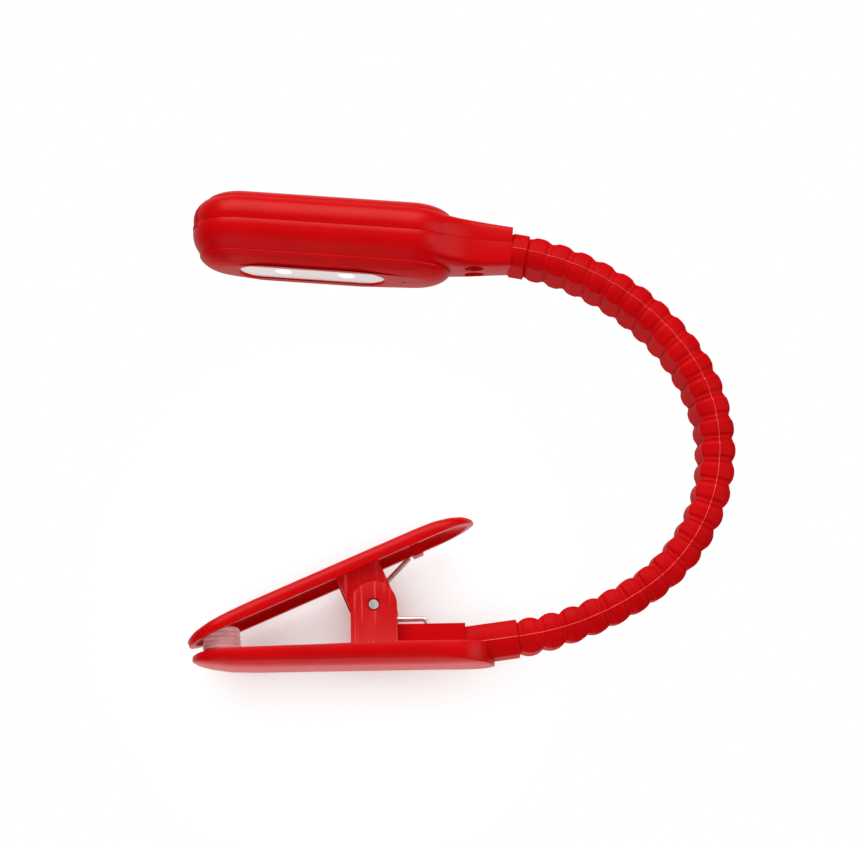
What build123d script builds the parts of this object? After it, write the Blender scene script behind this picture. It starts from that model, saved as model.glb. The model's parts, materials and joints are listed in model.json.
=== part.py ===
from build123d import *
import math
import os

# Clip-on reading light: a round-ended lamp head on a beaded bendable arm,
# carried by a spring clip. Millimetres. The lower jaw rests on Z = 0, the
# clip's hinge pin crosses the origin's vertical, and the mouth faces -X.

# Running clearances
fit_gap = 0.06
slide_gap = 0.2

# Lower jaw
jaw_half_width = 8.5
lower_front = -38.7
lower_back = 25.3
lower_tip_height = 2.9
lower_front_height = 3.8
lower_back_height = 4.7
lower_shoulder = 5.5
lower_base_half_width = 4.5
lower_edge_rise = 2.2
lower_corner_radius = 8.4

# Hinge
pin_height = 12.4
pin_radius = 1.0
ear_radius = 4.9
ear_wall = 1.6

# Upper jaw, a channel-shaped lever drawn level about the pin
upper_pitch = 22.9
upper_front = -39.1
upper_back = 26.8
upper_rim = 8.4
upper_crown = 11.45
upper_front_nose = 9.5
upper_back_nose = 9.0
front_slope = 11.0
back_slope = 11.0
slope_bulge = 0.55
upper_wall = 1.5
upper_ear_reach = 4.8

# Grip pad at the mouth
pad_length = 8.0
pad_width = 12.0
pad_x = -32.4
pad_gap = 0.15

# Torsion spring
wire_radius = 0.575
coil_radius = 2.4
coil_pitch = 1.35
coil_whole_turns = 3
upper_leg_pitch = 46.0
upper_leg_length = 13.6
lower_leg_length = 11.0
hook_front = 12.6
hook_length = 1.8
hook_depth = 3.2
hook_half_width = 2.4

# Arm: a bead chain laid along arcs, each with its length and its turn in degrees
arm_start_x = 30.5
arm_start_z = 5.65
arm_start_heading = 7.0
arm_arc_lengths = [29.8, 58.0, 40.2]
arm_arc_turns = [27.5, 91.3, 41.5]
bead_count = 27
beads_per_span = [5, 6, 5, 6, 5]
bead_ball_radius = 5.2
bead_half_thickness = 3.73
core_radius = 1.0
core_inset = 0.5

# Lower socket of the arm
plain_length = 11.4
socket_front = 4.95
socket_height = 8.6
socket_half_width = 5.2
ferrule_radius = 1.7
ferrule_length = 9.0

# Lamp head, drawn level about its parting plane and tilted as a whole
head_tilt = 5.0
head_length = 58.2
head_width = 22.0
head_top = 6.75
head_crease = -6.4
head_bottom = -9.35
head_wall = 1.5
top_fillet = 5.2
crease_fillet = 2.6
lip_height = 2.2
lip_width = 2.0
bezel_length = 53.3
bezel_width = 19.6
bezel_fillet = 2.4
bezel_floor = 1.6
bezel_ledge = 1.0

# Push cover on the head
cover_length = 53.0
cover_width = 16.0
cover_proud = 1.0
cover_travel = 0.35
cover_gap = 0.4
cover_thickness = 1.9
cover_fillet = 0.8
boss_radius = 1.7

# Lamp window, optics and electronics
window_x = -2.6
window_length = 31.4
window_width = 11.6
lens_recess = 0.6
lens_flange = 0.7
flange_margin = 1.2
reflector_wall = 1.4
board_nose_gap = 3.2
board_back = 19.0
board_width = 15.0
board_thickness = 1.0
led_x = [-8.8, 4.8]
led_size = (3.5, 2.8, 0.8)
battery_front = -14.0
battery_size = (24.0, 15.0, 3.2)
switch_x = 15.0
switch_body = (4.5, 4.5, 1.5)
stem_radius = 0.9
port_size = (5.0, 7.5, 2.6)
port_wall = 0.3
port_overhang = 1.8
flap_height = 4.8
flap_width = 9.6
flap_thickness = 1.3
flap_centre_z = 1.2
pipe_inset = 9.35
pipe_radius = 0.6

# Neck of the head, whose end carries the head on the arm
neck_end_x = 30.86
neck_end_z = 91.08
neck_length = 11.0
neck_width = 10.4
neck_top_root = 4.4
neck_top_end = 3.5
neck_bottom_root = -6.1
neck_bottom_end = -5.1
screw_setback = 7.8
screw_half_spacing = 2.65
screw_head_radius = 1.7
screw_well_radius = 2.1
screw_radius = 0.8
screw_head_height = 1.0
screw_seat = -3.4
screw_tip = 2.4
anchor_length = 10.0
anchor_margin = 0.15
anchor_thickness = 1.0


def save(shape, node):
    export_step(shape, "parts/" + node + ".step")


def side_face(points):
    """A closed face in the XZ plane from (x, z) corners."""
    return make_face(Polyline([(x, 0, z) for x, z in points], close=True))


def slab(face, low, high):
    """A side face thickened from y = low to y = high."""
    solid = extrude(face, amount=high - low, dir=(0, 1, 0))
    return Pos(0, low, 0) * solid


def stadium(length, width, low, high, x=0.0):
    """An upright plate with round ends between two heights."""
    plate = extrude(SlotOverall(length, width), amount=high - low)
    return Pos(x, 0, low) * plate


def rod(radius, start, end):
    """A straight round bar between two points."""
    axis = Vector(*end) - Vector(*start)
    plane = Plane(origin=start, z_dir=axis)
    return extrude(plane * Circle(radius), amount=axis.length)


def block(x, y, z):
    """A box from its low and high value on each axis."""
    size = (x[1] - x[0], y[1] - y[0], z[1] - z[0])
    return Pos(x[0], y[0], z[0]) * Box(*size, align=Align.MIN)


# The arm's centreline

def arm_at(distance):
    """Point and heading of the arm's centreline, measured from its first groove."""
    x, z, heading = arm_start_x, arm_start_z, math.radians(arm_start_heading)
    if distance < 0:
        return x + distance * math.cos(heading), z + distance * math.sin(heading), heading
    left = distance
    for number, (length, turn) in enumerate(zip(arm_arc_lengths, arm_arc_turns)):
        run = left if number == len(arm_arc_lengths) - 1 else min(left, length)
        bend = math.radians(turn) * run / length
        chord = run if bend == 0 else 2 * run / bend * math.sin(bend / 2)
        x += chord * math.cos(heading + bend / 2)
        z += chord * math.sin(heading + bend / 2)
        heading += bend
        left -= run
        if left <= 0:
            break
    return x, z, heading


arm_length = sum(arm_arc_lengths)
bead_pitch = arm_length / bead_count


def bead_centre(index):
    return arm_at((index + 0.5) * bead_pitch)


def bead(index, grow=0.0):
    """One bead: a ball cut to a drum about Y, so its inner and outer sides are flat."""
    x, z, heading = bead_centre(index)
    ball = Sphere(bead_ball_radius + grow)
    drum = Rot(90, 0, 0) * Cylinder(bead_half_thickness + grow, 4 * bead_ball_radius)
    return Pos(x, 0, z) * (ball & drum)


def core_wire(start, end):
    """The arm's core between two distances along the centreline."""
    ends = [arm_at(d) for d in (start, (start + end) / 2, end)]
    points = [(x, 0, z) for x, z, heading in ends]
    heading = ends[0][2]
    plane = Plane(origin=points[0], z_dir=(math.cos(heading), 0, math.sin(heading)))
    return sweep(plane * Circle(core_radius), path=ThreePointArc(*points))


def span_ends():
    """First and last bead of each span between two bending places."""
    ends = []
    first = 0
    for count in beads_per_span:
        ends.append((first, first + count - 1))
        first += count
    return ends


def build_spans():
    """The beaded spans, each scooped out around the last bead of the one before."""
    for number, (first, last) in enumerate(span_ends(), start=1):
        span = bead(first)
        for index in range(first + 1, last + 1):
            span += bead(index)
        start = (first + 0.5) * bead_pitch
        if number == 1:
            start -= bead_half_thickness - core_inset
        else:
            span -= bead(first - 1, grow=fit_gap)
            start += bead_half_thickness + fit_gap - bead_pitch
        end = (last + 0.5) * bead_pitch + bead_half_thickness - core_inset
        core = core_wire(start, end)
        save(span - core, "arm_span_%d" % number)
        save(core, "core_wire_%d" % number)


def heading_plane(distance):
    """The plane across the arm at a distance, its X along the arm's depth."""
    x, z, heading = arm_at(distance)
    return Plane(origin=(x, 0, z), x_dir=(0, 1, 0), z_dir=(math.cos(heading), 0, math.sin(heading)))


def arm_stub(start, end, ball_index):
    """A plain end of the sleeve, hollowed for the bead that swings in it."""
    outline = Circle(bead_ball_radius) & Rectangle(4 * bead_ball_radius, 2 * bead_half_thickness)
    stub = extrude(heading_plane(start) * outline, amount=end - start)
    x, z, ball_heading = bead_centre(ball_index)
    return stub - Pos(x, 0, z) * Sphere(bead_ball_radius + fit_gap)


# The clip

def lower_jaw_blank():
    side = side_face([
        (lower_front, 0), (lower_front, lower_tip_height),
        (lower_front + lower_shoulder, lower_front_height),
        (0, lower_back_height), (lower_back, lower_back_height), (lower_back, 0)])
    half = jaw_half_width
    section_path = Polyline([
        (0, -half, lower_edge_rise), (0, -half, 2 * pin_height),
        (0, half, 2 * pin_height), (0, half, lower_edge_rise)])
    base = lower_base_half_width
    section_base = [
        Line((0, -base, 0), (0, base, 0)),
        TangentArc((0, base, 0), (0, half, lower_edge_rise), tangent=(0, 1, 0)),
        TangentArc((0, -base, 0), (0, -half, lower_edge_rise), tangent=(0, -1, 0))]
    section = make_face([section_path] + section_base)
    length = lower_back - lower_front
    beam = Pos(lower_front, 0, 0) * extrude(section, amount=length, dir=(1, 0, 0))
    plan = RectangleRounded(length, 2 * half, lower_corner_radius)
    plan_solid = Pos((lower_front + lower_back) / 2, 0, 0) * extrude(plan, amount=2 * pin_height)
    return slab(side, -half, half) & beam & plan_solid


def lower_ears():
    ears = None
    for side in (-1, 1):
        outer = side * jaw_half_width
        inner = side * (jaw_half_width - ear_wall)
        low, high = min(outer, inner), max(outer, inner)
        post = block((-ear_radius, ear_radius), (low, high), (lower_edge_rise + 1, pin_height))
        cap = rod(ear_radius, (0, low, pin_height), (0, high, pin_height))
        ear = post + cap
        ears = ear if ears is None else ears + ear
    return ears


def ferrule():
    """The crimped sleeve that holds the core in the clip."""
    start = -plain_length - ferrule_length
    x0, z0, heading = arm_at(start)
    x1, z1, heading = arm_at(-plain_length)
    return rod(ferrule_radius, (x0, 0, z0), (x1, 0, z1))


def root_core():
    start = -plain_length - ferrule_length
    end = 0.5 * bead_pitch - bead_ball_radius
    x0, z0, heading = arm_at(start)
    x1, z1, heading = arm_at(end - fit_gap)
    return rod(core_radius, (x0, 0, z0), (x1, 0, z1))


def build_clip_base():
    socket_back = arm_at(-plain_length)[0]
    stub = arm_stub(-plain_length, 0.5 * bead_pitch, 0)
    nest_outline = Circle(bead_ball_radius + fit_gap)
    nest_outline &= Rectangle(4 * bead_ball_radius, 2 * (bead_half_thickness + fit_gap))
    nest = extrude(heading_plane(-plain_length) * nest_outline, amount=2 * plain_length)
    pin = rod(pin_radius, (0, -jaw_half_width, pin_height), (0, jaw_half_width, pin_height))
    crimp = ferrule()
    jaw = lower_jaw_blank() + lower_ears() - pin - nest - crimp
    cover = block((socket_front, socket_back), (-socket_half_width, socket_half_width),
                  (lower_back_height, socket_height))
    cover = cover - crimp - nest
    core = root_core()
    save(jaw, "lower_jaw")
    save(cover, "arm_socket_cover")
    save(crimp - core, "core_ferrule")
    save(stub - core, "arm_lower_end")
    save(core, "core_wire_root")
    save(pin, "hinge_pin")


def tilted(shape):
    """Places a shape drawn level about the pin at the upper jaw's pitch."""
    return Pos(0, 0, pin_height) * Rot(0, -upper_pitch, 0) * shape


def upper_side(inset=0.0):
    """The upper jaw's side face: a straight channel whose two tips curve down."""
    front = upper_front + inset
    back = upper_back - inset
    crown = upper_crown - inset
    front_nose = upper_front_nose - inset
    back_nose = upper_back_nose - inset
    floor = upper_rim - (inset > 0) * upper_crown
    front_arc = ThreePointArc(
        (front, 0, front_nose),
        (front + front_slope * 0.42, 0, front_nose + (crown - front_nose) * (0.42 + slope_bulge * 0.6)),
        (front + front_slope, 0, crown))
    back_arc = ThreePointArc(
        (back - back_slope, 0, crown),
        (back - back_slope * 0.42, 0, back_nose + (crown - back_nose) * (0.42 + slope_bulge * 0.6)),
        (back, 0, back_nose))
    crown_line = Line(front_arc @ 1, back_arc @ 0)
    rest = Polyline([back_arc @ 1, (back, 0, floor), (front, 0, floor), front_arc @ 0])
    return make_face([front_arc, crown_line, back_arc, rest])


def upper_plan(inset=0.0):
    """The upper jaw's plan outline as an upright prism."""
    outline = RectangleRounded(upper_back - upper_front - 2 * inset,
                               2 * (jaw_half_width - inset), lower_corner_radius - inset)
    return Pos((upper_front + upper_back) / 2, 0, -upper_crown) * extrude(outline, amount=3 * upper_crown)


def upper_channel():
    inner = jaw_half_width - upper_wall
    return slab(upper_side(upper_wall), -inner, inner) & upper_plan(upper_wall)


def upper_ears():
    ears = None
    for side in (-1, 1):
        outer = side * (jaw_half_width - ear_wall - slide_gap / 2)
        inner = outer - side * ear_wall
        low, high = min(outer, inner), max(outer, inner)
        reach = upper_ear_reach
        post = block((-reach, reach), (low, high), (0, upper_crown - upper_wall / 2))
        cap = rod(reach, (0, low, 0), (0, high, 0))
        ear = post + cap
        ears = ear if ears is None else ears + ear
    return ears


def build_upper_jaw():
    half = jaw_half_width
    shell = slab(upper_side(), -half, half) & upper_plan()
    shell = shell - upper_channel()
    hook = block((hook_front, hook_front + hook_length), (-hook_half_width, hook_half_width),
                 (upper_crown - upper_wall - hook_depth, upper_crown - upper_wall / 2))
    jaw = shell + upper_ears() + hook
    jaw = jaw - rod(pin_radius + fit_gap, (0, -half, 0), (0, half, 0))
    save(tilted(jaw), "upper_jaw")
    low = lower_front_height + pad_gap
    prism = stadium(pad_width, pad_length, low, 2 * pin_height)
    prism = Pos(pad_x, 0, 0) * Rot(0, 0, 90) * prism
    save(prism & tilted(upper_channel()), "grip_pad")


def build_spring():
    """Coil about the pin with one leg to the lever's hook and one on the socket cover."""
    start_angle = 90 + upper_leg_pitch
    turns = coil_whole_turns + (270 - start_angle) / 360
    height = turns * coil_pitch
    coil = Pos(0, 0, -height / 2) * Rot(0, 0, start_angle) * Helix(coil_pitch, height, coil_radius)
    first, last = coil @ 0, coil @ 1
    plane = Plane(origin=first, z_dir=coil % 0)
    body = sweep(plane * Circle(wire_radius), path=coil, is_frenet=True)
    pitch = math.radians(upper_leg_pitch)
    upper_tip = first + Vector(math.cos(pitch), math.sin(pitch), 0) * upper_leg_length
    lower_tip = last + Vector(lower_leg_length, 0, 0)
    foot = Vector(lower_tip.X, socket_height - pin_height, lower_tip.Z)
    body = body + Pos(*first) * Sphere(wire_radius) + rod(wire_radius, first, upper_tip)
    body = body + Pos(*last) * Sphere(wire_radius) + rod(wire_radius, last, lower_tip)
    body = body + Pos(*lower_tip) * Sphere(wire_radius) + rod(wire_radius, lower_tip, foot)
    save(Pos(0, 0, pin_height) * Rot(90, 0, 0) * body, "torsion_spring")


# The lamp head, drawn level about its parting plane

def neck_end():
    return head_length / 2 + neck_length


def headed(shape):
    place = Pos(neck_end_x, 0, neck_end_z) * Rot(0, head_tilt, 0) * Pos(-neck_end(), 0, 0)
    return place * shape


def rim_edges(solid, height):
    """Edges of a solid that lie flat at one height."""
    return [edge for edge in solid.edges()
            if abs(edge.bounding_box().min.Z - height) < 1e-4
            and abs(edge.bounding_box().max.Z - height) < 1e-4]


def head_blank():
    body = stadium(head_length, head_width, head_crease, head_top)
    body = fillet(rim_edges(body, head_top), top_fillet)
    body = fillet(rim_edges(body, head_crease), crease_fillet)
    return body + neck_blank(0)


def neck_blank(inset):
    root = head_length / 2 - top_fillet
    end = head_length / 2 + neck_length - inset
    face = side_face([
        (root, neck_bottom_root + inset), (end, neck_bottom_end + inset),
        (end, neck_top_end - inset), (root, neck_top_root - inset)])
    half = neck_width / 2 - inset
    return slab(face, -half, half)


def head_cavity():
    lip = head_crease + lip_height
    length, width = head_length - 2 * head_wall, head_width - 2 * head_wall
    inner = stadium(length, width, lip, cover_floor() - head_wall)
    inner += stadium(length - 2 * lip_width, width - 2 * lip_width, 2 * head_bottom, lip)
    neck = block((0, neck_end() - head_wall), (-anchor_width() / 2, anchor_width() / 2),
                 (-anchor_thickness, anchor_thickness))
    return inner + neck


def cover_recess():
    """Depth of the recess that holds the push cover."""
    return cover_thickness + cover_gap - cover_proud


def cover_floor():
    return head_top - cover_recess()


def screw_x():
    return neck_end() - screw_setback


def screw_places():
    return [(screw_x(), side * screw_half_spacing) for side in (-1, 1)]


def anchor_width():
    return 2 * (screw_half_spacing + screw_radius + anchor_margin)


def board_front():
    return board_nose_gap - head_length / 2


def pipe_x():
    return bezel_length / 2 - pipe_inset


def port_box(margin):
    length, width, height = port_size
    front = -head_length / 2
    return block((2 * front, port_back() + margin), (-width / 2 - margin, width / 2 + margin),
                 (-margin, height + margin))


def port_back():
    return board_front() + port_size[0] - port_overhang


def flap_box(margin):
    front = -head_length / 2
    half = flap_height / 2 + margin
    return block((2 * front, front + flap_thickness + margin),
                 (-flap_width / 2 - margin, flap_width / 2 + margin),
                 (flap_centre_z - half, flap_centre_z + half))


def build_shells():
    body = head_blank() - head_cavity()
    recess = stadium(cover_length + 2 * slide_gap, cover_width + 2 * slide_gap,
                     cover_floor(), 2 * head_top)
    body = body - recess - port_box(slide_gap) - flap_box(slide_gap / 2)
    body = body - Pos(switch_x, 0, 0) * extrude(Circle(boss_radius + slide_gap), amount=2 * head_top)
    for x, y in screw_places():
        body = body - rod(screw_well_radius, (x, y, 2 * head_bottom), (x, y, screw_seat))
        body = body - rod(screw_radius, (x, y, screw_seat), (x, y, screw_tip))
    reach = 2 * head_length
    above = block((-reach, reach), (-reach, reach), (0, reach))
    below = block((-reach, reach), (-reach, reach), (-reach, 0))
    kept_clear = head_core() + last_bead_room()
    save(headed(body & above) - kept_clear, "head_upper_shell")
    save(headed(body & below) - kept_clear, "head_lower_shell")


def build_bezel():
    floor = head_bottom + bezel_floor
    bezel = stadium(bezel_length, bezel_width, head_bottom, head_crease)
    bezel = fillet(rim_edges(bezel, head_bottom), bezel_fillet)
    ledge = 2 * (head_wall + bezel_ledge)
    bezel = bezel - stadium(bezel_length - ledge, bezel_width - ledge, floor, head_crease)
    bezel = bezel - stadium(window_length, window_width, 2 * head_bottom, floor, x=window_x)
    pipe_top = -board_thickness - led_size[2]
    pipe = rod(pipe_radius, (pipe_x(), 0, head_bottom), (pipe_x(), 0, pipe_top))
    bezel = bezel - rod(pipe_radius, (pipe_x(), 0, 2 * head_bottom), (pipe_x(), 0, floor))
    lens = stadium(window_length, window_width, head_bottom + lens_recess, floor, x=window_x)
    flange_top = floor + lens_flange
    lens = lens + stadium(window_length + 2 * flange_margin, window_width + 2 * flange_margin,
                          floor, flange_top, x=window_x)
    tray = stadium(window_length + 2 * flange_margin, window_width + 2 * flange_margin,
                   flange_top, -board_thickness, x=window_x)
    tray = tray - stadium(window_length - reflector_wall, window_width - reflector_wall,
                          flange_top, -board_thickness, x=window_x)
    save(headed(bezel), "bottom_bezel")
    save(headed(pipe), "indicator_light_pipe")
    save(headed(lens), "diffuser_lens")
    save(headed(tray), "reflector_tray")


def build_electronics():
    half = board_width / 2
    board = block((board_front(), board_back), (-half, half), (-board_thickness, 0))
    length, width, height = led_size
    leds = None
    for x in led_x:
        led = block((x - length / 2, x + length / 2), (-width / 2, width / 2),
                    (-board_thickness - height, -board_thickness))
        leds = led if leds is None else leds + led
    indicator = block((pipe_x() - width / 4, pipe_x() + width / 4), (-width / 4, width / 4),
                      (-board_thickness - height, -board_thickness))
    length, width, height = battery_size
    battery = block((battery_front, battery_front + length), (-width / 2, width / 2), (0, height))
    battery = fillet(battery.edges().filter_by(Axis.X), height / 4)
    length, width, height = switch_body
    stem_depth = height / 2
    body = block((switch_x - length / 2, switch_x + length / 2), (-width / 2, width / 2), (0, height))
    well = Pos(switch_x, 0, height - stem_depth) * extrude(Circle(stem_radius + fit_gap), amount=height)
    length, width, height = port_size
    port = block((port_back() - length, port_back()), (-width / 2, width / 2), (0, height))
    port = fillet(port.edges().filter_by(Axis.X), height / 4)
    inside = block((port_back() - length, port_back() - port_wall),
                   (-width / 2 + port_wall, width / 2 - port_wall), (port_wall, height - port_wall))
    outline = stadium(head_length - 2 * head_wall - slide_gap, head_width - 2 * head_wall - slide_gap,
                      -board_thickness, 0)
    save(headed(board & outline), "circuit_board")
    save(headed(leds), "reading_leds")
    save(headed(indicator), "charge_indicator_led")
    save(headed(battery), "battery")
    save(headed(body - well), "tact_switch")
    save(headed(port - inside), "charge_port")


def build_push_cover():
    low = cover_floor() + cover_gap
    high = low + cover_thickness
    cover = stadium(cover_length, cover_width, low, high)
    cover = fillet(rim_edges(cover, high), cover_fillet)
    stem_low = switch_body[2] / 2 + cover_gap
    stem_high = switch_body[2] + cover_gap + 0.6
    boss = Pos(switch_x, 0, stem_high) * extrude(Circle(boss_radius), amount=low - stem_high)
    stem = Pos(switch_x, 0, stem_low) * extrude(Circle(stem_radius), amount=stem_high - stem_low)
    save(headed(cover + boss), "push_cover")
    save(headed(stem), "switch_stem")


def build_port_cover():
    skin = head_blank() & flap_box(0)
    tongue_height = port_size[2] - 4 * port_wall
    tongue = block((-head_length / 2 + flap_thickness / 2, -head_length / 2 + flap_thickness + 0.6),
                   (-port_size[1] / 2 + 3 * port_wall, port_size[1] / 2 - 3 * port_wall),
                   (2 * port_wall, 2 * port_wall + tongue_height / 2))
    save(headed(skin + tongue), "port_cover")


def last_bead_at():
    return (bead_count - 0.5) * bead_pitch


def last_bead_room():
    """The ball that the last bead swings in."""
    x, z, heading = bead_centre(bead_count - 1)
    return Pos(x, 0, z) * Sphere(bead_ball_radius + fit_gap)


def anchor_back():
    """Where the anchor plate ends and the core butts on it."""
    return screw_x() + anchor_length / 2


def head_core():
    """The core from the last bead into the neck, with an elbow at the neck's end."""
    x, z, heading = arm_at(last_bead_at() + bead_ball_radius + slide_gap)
    elbow = headed(Pos(neck_end(), 0, 0)).position
    core = rod(core_radius, (x, 0, z), (elbow.X, 0, elbow.Z))
    inner = rod(core_radius, (anchor_back(), 0, 0), (neck_end(), 0, 0))
    return core + headed(inner + Pos(neck_end(), 0, 0) * Sphere(core_radius))


def build_neck():
    x0, x1 = anchor_back() - anchor_length, anchor_back()
    half = anchor_width() / 2
    plate = block((x0, x1), (-half, half), (-anchor_thickness / 2, anchor_thickness / 2))
    screws = None
    for x, y in screw_places():
        plate = plate - rod(screw_radius + fit_gap, (x, y, -2), (x, y, 2))
        shank = rod(screw_radius, (x, y, screw_seat), (x, y, screw_tip))
        head = rod(screw_head_radius, (x, y, screw_seat - screw_head_height), (x, y, screw_seat))
        screw = shank + head
        screws = screw if screws is None else screws + screw
    reach = 2 * neck_length
    core = head_core()
    stub = arm_stub(last_bead_at(), last_bead_at() + reach, bead_count - 1)
    stub = stub - headed(block((-reach, neck_end()), (-reach, reach), (-reach, reach))) - core
    save(stub, "arm_upper_end")
    save(core, "core_wire_head")
    save(headed(plate), "core_anchor_plate")
    save(headed(screws), "neck_screws")


os.makedirs("parts", exist_ok=True)
build_spans()
build_clip_base()
build_upper_jaw()
build_spring()
build_shells()
build_bezel()
build_electronics()
build_push_cover()
build_port_cover()
build_neck()
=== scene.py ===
import json
import math

import bmesh
import bpy
from mathutils import Matrix, Vector, kdtree


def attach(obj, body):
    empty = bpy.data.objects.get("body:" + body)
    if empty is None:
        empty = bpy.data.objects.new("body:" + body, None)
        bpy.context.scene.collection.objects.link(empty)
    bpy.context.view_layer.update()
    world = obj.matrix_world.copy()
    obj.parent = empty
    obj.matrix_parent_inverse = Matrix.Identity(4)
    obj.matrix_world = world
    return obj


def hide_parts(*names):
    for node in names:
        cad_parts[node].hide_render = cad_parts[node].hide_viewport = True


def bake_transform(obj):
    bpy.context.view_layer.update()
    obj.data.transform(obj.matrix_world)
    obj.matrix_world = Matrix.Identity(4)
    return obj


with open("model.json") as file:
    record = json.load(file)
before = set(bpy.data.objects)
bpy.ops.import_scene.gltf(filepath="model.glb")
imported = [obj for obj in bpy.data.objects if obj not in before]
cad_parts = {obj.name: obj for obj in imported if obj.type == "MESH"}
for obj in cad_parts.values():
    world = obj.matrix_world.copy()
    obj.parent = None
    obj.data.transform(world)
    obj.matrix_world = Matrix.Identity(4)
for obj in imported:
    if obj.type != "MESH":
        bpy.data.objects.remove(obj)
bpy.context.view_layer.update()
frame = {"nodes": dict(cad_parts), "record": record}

MM = 0.001

# Camera, matched to the photograph's long lens from slightly below
PHOTO_WIDTH = 862
PHOTO_SCALE = 0.2147 * MM
CAMERA_TARGET = Vector((12.70, 0.0, 52.89)) * MM
CAMERA_DISTANCE = 753.7 * MM
CAMERA_ELEVATION = 11.18
CAMERA_ROLL = -0.99
SENSOR_WIDTH = 36.0

# Arm, in millimetres along its centreline
ARM_START = (30.5, 5.65)
ARM_HEADING = 7.0
ARM_ARCS = [(29.8, 27.5), (58.0, 91.3), (40.2, 41.5)]
BEAD_COUNT = 27
BEADS_PER_SPAN = [5, 6, 5, 6, 5]
BEAD_BALL = 5.2
BEAD_HALF = 3.73
LOWER_PLAIN = 11.4
UPPER_PLAIN = 3.9

# Lamp head, drawn level about its parting plane and tilted as a whole
HEAD_AT = Vector((-9.087, 0.0, 94.575))
HEAD_TILT = 5.0
HEAD_LENGTH = 58.2
HEAD_WIDTH = 22.0
HEAD_FLOOR = -9.34
NECK_END = 40.1
WINDOW_X = -2.6
WINDOW_LENGTH = 31.4
WINDOW_WIDTH = 11.6
LED_X = (-8.8, 4.8)
PIPE_X = 17.3
SCREW_X = 32.3

# Clip
PIN_HEIGHT = 12.4
UPPER_PITCH = 22.9
JAW_HALF_WIDTH = 8.5

# The white sheet that the book light lies on, upright as the camera sees it
SHEET_Y = 11.3 * MM
SHEET_HALF_WIDTH = 0.2
SHEET_LOW = -0.1
SHEET_HIGH = 0.2

# Brightness of the room in front of the book light and behind it
ROOM_DARK = 0.02
ROOM_BRIGHT = 0.6

# Middle of the book light, which every studio lamp faces
LIT_POINT = Vector((0.01, 0, 0.05))

# Points of a mesh that are closer than this are one point
MERGE_DISTANCE = 0.004

# The bevel on crisp edges
BEVEL_SEGMENTS = 3
BEVEL_FROM_ANGLE = 30.0


# Mesh helpers, all in millimetres until the object is made

def make_object(name, points, faces):
    mesh = bpy.data.meshes.new(name)
    mesh.from_pydata([tuple(Vector(p) * MM) for p in points], [], faces)
    mesh.update()
    bm = bmesh.new()
    bm.from_mesh(mesh)
    bmesh.ops.remove_doubles(bm, verts=bm.verts, dist=MERGE_DISTANCE * MM)
    bmesh.ops.recalc_face_normals(bm, faces=bm.faces)
    bm.to_mesh(mesh)
    bm.free()
    obj = bpy.data.objects.new(name, mesh)
    bpy.context.scene.collection.objects.link(obj)
    return obj


def lofted(name, rings, cap_start=True, cap_end=True):
    """A skin through closed rings that have the same number of points."""
    count = len(rings[0])
    points = [p for ring in rings for p in ring]
    faces = []
    for r in range(len(rings) - 1):
        for i in range(count):
            j = (i + 1) % count
            faces.append((r * count + i, r * count + j, (r + 1) * count + j, (r + 1) * count + i))
    if cap_start:
        faces.append(tuple(reversed(range(count))))
    if cap_end:
        faces.append(tuple(range((len(rings) - 1) * count, len(rings) * count)))
    return make_object(name, points, faces)


def settle_mesh(obj):
    """Bakes an object's modifiers into its mesh."""
    bpy.context.view_layer.update()
    graph = bpy.context.evaluated_depsgraph_get()
    mesh = bpy.data.meshes.new_from_object(obj.evaluated_get(graph))
    obj.modifiers.clear()
    obj.data = mesh


def combine(obj, tool, operation):
    """Joins a tool solid to an object, or cuts it away, and deletes the tool."""
    modifier = obj.modifiers.new("solid", "BOOLEAN")
    modifier.operation = operation
    modifier.solver = "EXACT"
    modifier.object = tool
    settle_mesh(obj)
    bpy.data.objects.remove(tool)


def soften(obj, width):
    """Rounds an object's crisp edges by a bevel."""
    modifier = obj.modifiers.new("edges", "BEVEL")
    modifier.width = width * MM
    modifier.segments = BEVEL_SEGMENTS
    modifier.limit_method = "ANGLE"
    modifier.angle_limit = math.radians(BEVEL_FROM_ANGLE)
    modifier.use_clamp_overlap = True
    settle_mesh(obj)


def smooth_shade(obj, angle):
    """Shades a surface smoothly, apart from the edges that turn by more than an angle."""
    obj.data.shade_smooth()
    obj.data.set_sharp_from_angle(angle=math.radians(angle))


def prism(name, outline, low, high, axis="Z"):
    """A straight solid from a closed outline, along Z or Y."""
    place = {"Z": lambda a, b, c: (a, b, c), "Y": lambda a, b, c: (a, c, b)}[axis]
    rings = [[place(a, b, level) for a, b in outline] for level in (low, high)]
    return lofted(name, rings)


def circle(radius, count, x=0.0, y=0.0):
    """Points round a circle."""
    return [(x + radius * math.cos(2 * math.pi * i / count), y + radius * math.sin(2 * math.pi * i / count))
            for i in range(count)]


def stadium(length, width, x=0.0, arc_steps=24, side_steps=12):
    """Points round a plate with round ends, the same count for every size."""
    radius = width / 2
    half = length / 2 - radius
    points = []
    for i in range(arc_steps):
        a = -math.pi / 2 + math.pi * i / arc_steps
        points.append((x + half + radius * math.cos(a), radius * math.sin(a)))
    for i in range(side_steps):
        points.append((x + half - 2 * half * i / side_steps, radius))
    for i in range(arc_steps):
        a = math.pi / 2 + math.pi * i / arc_steps
        points.append((x - half + radius * math.cos(a), radius * math.sin(a)))
    for i in range(side_steps):
        points.append((x - half + 2 * half * i / side_steps, -radius))
    return points


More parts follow.
